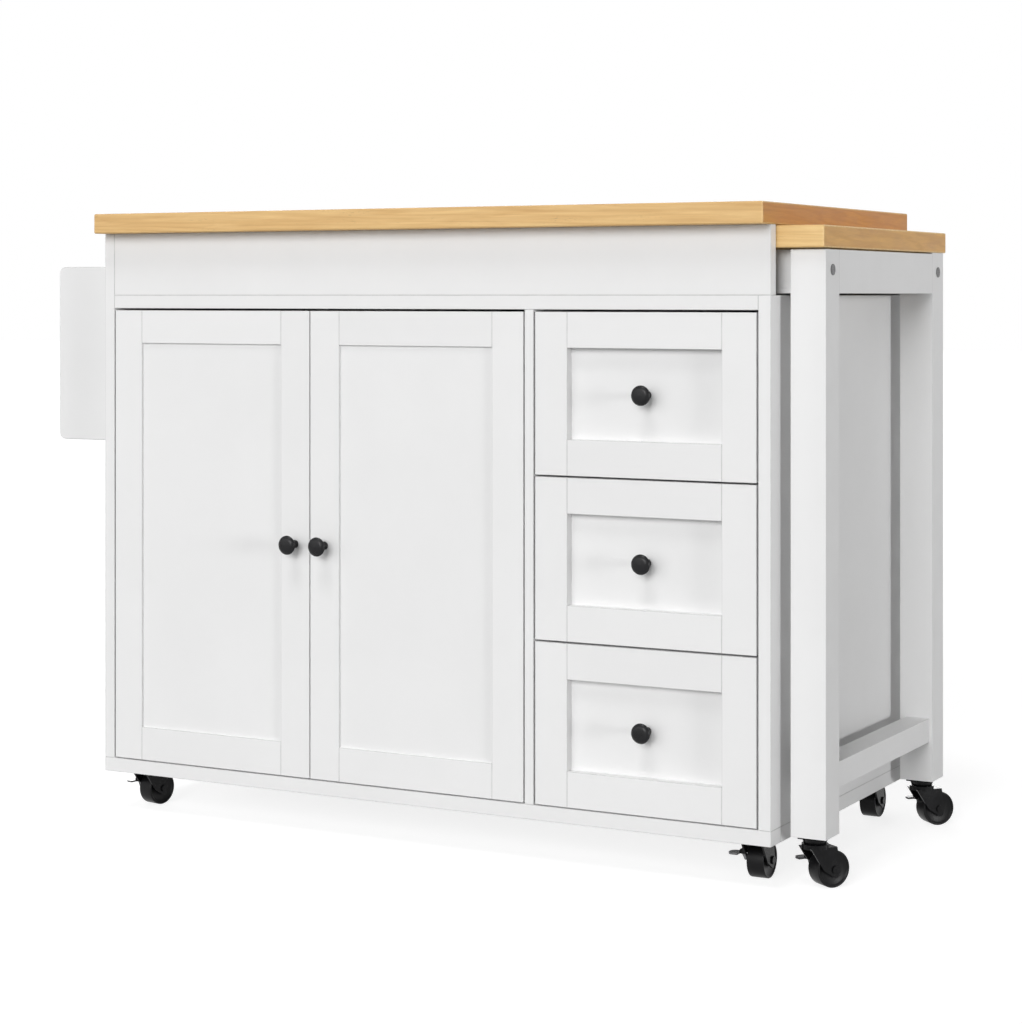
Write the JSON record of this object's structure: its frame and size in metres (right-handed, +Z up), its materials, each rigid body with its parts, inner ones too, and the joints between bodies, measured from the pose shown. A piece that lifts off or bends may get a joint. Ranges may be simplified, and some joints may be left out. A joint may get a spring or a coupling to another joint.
{
  "type": "rolling kitchen island",
  "caption": "White kitchen island on braked casters with a wooden worktop, cupboard doors, drawers, an end rack and a table on legs that pulls out from under the worktop.",
  "frame": {"origin": "on the floor, at the middle of the island's box in plan", "axes": "+X to the right as seen from the doors, +Y from the doors to the back, +Z up"},
  "size_m": [1.2905, 0.576, 0.915],
  "materials": {
    "white_board": "satin white paint",
    "butcher_block": "oiled",
    "drawer_board": "matt white laminate",
    "cleat_wood": "raw",
    "black_knob": "satin black",
    "caster_steel": "black coating",
    "brake_pedal": "dark grey coating",
    "caster_tread": "matt black",
    "zinc_steel": "zinc plate"
  },
  "bodies": {
    "cabinet": {"adjustable_shelf": "white_board", "aprons": "white_board", "back_panel": "white_board", "bottom_panel": "white_board", "cabinet_caster_plates": "caster_steel", "centre_divider": "white_board", "countertop": "butcher_block", "deck_panel": "white_board", "door_hinge_arms": "zinc_steel", "drawer_slide_rails": "zinc_steel", "left_side_panel": "white_board", "right_side_panel": "white_board", "shelf_pins": "zinc_steel", "side_rack": "white_board", "skirt_strips": "white_board", "table_stop_cleat": "cleat_wood"},
    "left_door": {"left_door_frame": "white_board", "left_door_hinge_cups": "zinc_steel", "left_door_knob": "black_knob", "left_door_panel": "white_board"},
    "right_door": {"right_door_frame": "white_board", "right_door_hinge_cups": "zinc_steel", "right_door_knob": "black_knob", "right_door_panel": "white_board"},
    "table": {"table_caster_plates": "caster_steel", "table_leg_bolts": "zinc_steel", "table_legs": "white_board", "table_rails": "white_board", "table_stretcher": "white_board", "table_top": "butcher_block"},
    "bottom_drawer": {"bottom_drawer_box": "drawer_board", "bottom_drawer_front": "white_board", "bottom_drawer_knob": "black_knob", "bottom_drawer_slides": "zinc_steel"},
    "middle_drawer": {"middle_drawer_box": "drawer_board", "middle_drawer_front": "white_board", "middle_drawer_knob": "black_knob", "middle_drawer_slides": "zinc_steel"},
    "top_drawer": {"top_drawer_box": "drawer_board", "top_drawer_front": "white_board", "top_drawer_knob": "black_knob", "top_drawer_slides": "zinc_steel"},
    "front_left_fork": {"front_left_caster_fork": "caster_steel"},
    "front_left_wheel": {"front_left_caster_wheel": "caster_tread"},
    "front_left_brake": {"front_left_caster_brake": "brake_pedal"},
    "front_right_fork": {"front_right_caster_fork": "caster_steel"},
    "front_right_wheel": {"front_right_caster_wheel": "caster_tread"},
    "front_right_brake": {"front_right_caster_brake": "brake_pedal"},
    "rear_left_fork": {"rear_left_caster_fork": "caster_steel"},
    "rear_left_wheel": {"rear_left_caster_wheel": "caster_tread"},
    "rear_left_brake": {"rear_left_caster_brake": "brake_pedal"},
    "rear_right_fork": {"rear_right_caster_fork": "caster_steel"},
    "rear_right_wheel": {"rear_right_caster_wheel": "caster_tread"},
    "rear_right_brake": {"rear_right_caster_brake": "brake_pedal"},
    "table_front_fork": {"table_front_caster_fork": "caster_steel"},
    "table_front_wheel": {"table_front_caster_wheel": "caster_tread"},
    "table_front_brake": {"table_front_caster_brake": "brake_pedal"},
    "table_rear_fork": {"table_rear_caster_fork": "caster_steel"},
    "table_rear_wheel": {"table_rear_caster_wheel": "caster_tread"},
    "table_rear_brake": {"table_rear_caster_brake": "brake_pedal"}
  },
  "joints": [
    {"name": "left_door_hinge", "type": "hinge", "parent": "cabinet", "child": "left_door", "pos_m": [-0.486, -0.2517, 0.425], "axis": [0, 0, -1], "range_deg": [0, 90]},
    {"name": "right_door_hinge", "type": "hinge", "parent": "cabinet", "child": "right_door", "pos_m": [0.178, -0.2517, 0.425], "axis": [0, 0, 1], "range_deg": [0, 90]},
    {"name": "bottom_drawer_slide", "type": "slide", "parent": "cabinet", "child": "bottom_drawer", "axis": [0, -1, 0], "range_m": [0, 0.35]},
    {"name": "middle_drawer_slide", "type": "slide", "parent": "cabinet", "child": "middle_drawer", "axis": [0, -1, 0], "range_m": [0, 0.35]},
    {"name": "top_drawer_slide", "type": "slide", "parent": "cabinet", "child": "top_drawer", "axis": [0, -1, 0], "range_m": [0, 0.35]},
    {"name": "table_slide", "type": "slide", "parent": "cabinet", "child": "table", "axis": [1, 0, 0], "range_m": [0, 0.7]},
    {"name": "front_left_swivel", "type": "hinge", "parent": "cabinet", "child": "front_left_fork", "pos_m": [-0.4905, -0.206, 0.06], "axis": [0, 0, 1], "continuous": true},
    {"name": "front_left_roll", "type": "hinge", "parent": "front_left_fork", "child": "front_left_wheel", "pos_m": [-0.4863, -0.1844, 0.025], "axis": [-0.9816, 0.1908, 0], "continuous": true},
    {"name": "front_left_brake_tilt", "type": "hinge", "parent": "front_left_fork", "child": "front_left_brake", "pos_m": [-0.50863, -0.19708, 0.038], "axis": [-0.1908, -0.9816, 0], "range_deg": [0, 9]},
    {"name": "front_right_swivel", "type": "hinge", "parent": "cabinet", "child": "front_right_fork", "pos_m": [0.5275, -0.206, 0.06], "axis": [0, 0, 1], "continuous": true},
    {"name": "front_right_roll", "type": "hinge", "parent": "front_right_fork", "child": "front_right_wheel", "pos_m": [0.5275, -0.184, 0.025], "axis": [-1, 0, 0], "continuous": true},
    {"name": "front_right_brake_tilt", "type": "hinge", "parent": "front_right_fork", "child": "front_right_brake", "pos_m": [0.508, -0.2007, 0.038], "axis": [0, -1, 0], "range_deg": [0, 9]},
    {"name": "rear_left_swivel", "type": "hinge", "parent": "cabinet", "child": "rear_left_fork", "pos_m": [-0.4905, 0.234, 0.06], "axis": [0, 0, 1], "continuous": true},
    {"name": "rear_left_roll", "type": "hinge", "parent": "rear_left_fork", "child": "rear_left_wheel", "pos_m": [-0.4905, 0.256, 0.025], "axis": [-1, 0, 0], "continuous": true},
    {"name": "rear_left_brake_tilt", "type": "hinge", "parent": "rear_left_fork", "child": "rear_left_brake", "pos_m": [-0.51, 0.2393, 0.038], "axis": [0, -1, 0], "range_deg": [0, 9]},
    {"name": "rear_right_swivel", "type": "hinge", "parent": "cabinet", "child": "rear_right_fork", "pos_m": [0.5275, 0.234, 0.06], "axis": [0, 0, 1], "continuous": true},
    {"name": "rear_right_roll", "type": "hinge", "parent": "rear_right_fork", "child": "rear_right_wheel", "pos_m": [0.5275, 0.256, 0.025], "axis": [-1, 0, 0], "continuous": true},
    {"name": "rear_right_brake_tilt", "type": "hinge", "parent": "rear_right_fork", "child": "rear_right_brake", "pos_m": [0.508, 0.2393, 0.038], "axis": [0, -1, 0], "range_deg": [0, 9]},
    {"name": "table_front_swivel", "type": "hinge", "parent": "table", "child": "table_front_fork", "pos_m": [0.6125, -0.205, 0.06], "axis": [0, 0, 1], "continuous": true},
    {"name": "table_front_roll", "type": "hinge", "parent": "table_front_fork", "child": "table_front_wheel", "pos_m": [0.62512, -0.18698, 0.025], "axis": [-0.8192, 0.5736, 0], "continuous": true},
    {"name": "table_front_brake_tilt", "type": "hinge", "parent": "table_front_fork", "child": "table_front_brake", "pos_m": [0.59957, -0.18947, 0.038], "axis": [-0.5736, -0.8192, 0], "range_deg": [0, 9]},
    {"name": "table_rear_swivel", "type": "hinge", "parent": "table", "child": "table_rear_fork", "pos_m": [0.6125, 0.233, 0.06], "axis": [0, 0, 1], "continuous": true},
    {"name": "table_rear_roll", "type": "hinge", "parent": "table_rear_fork", "child": "table_rear_wheel", "pos_m": [0.6275, 0.24909, 0.025], "axis": [-0.7314, 0.682, 0], "continuous": true},
    {"name": "table_rear_brake_tilt", "type": "hinge", "parent": "table_rear_fork", "child": "table_rear_brake", "pos_m": [0.60185, 0.25017, 0.038], "axis": [-0.682, -0.7314, 0], "range_deg": [0, 9]}
  ]
}
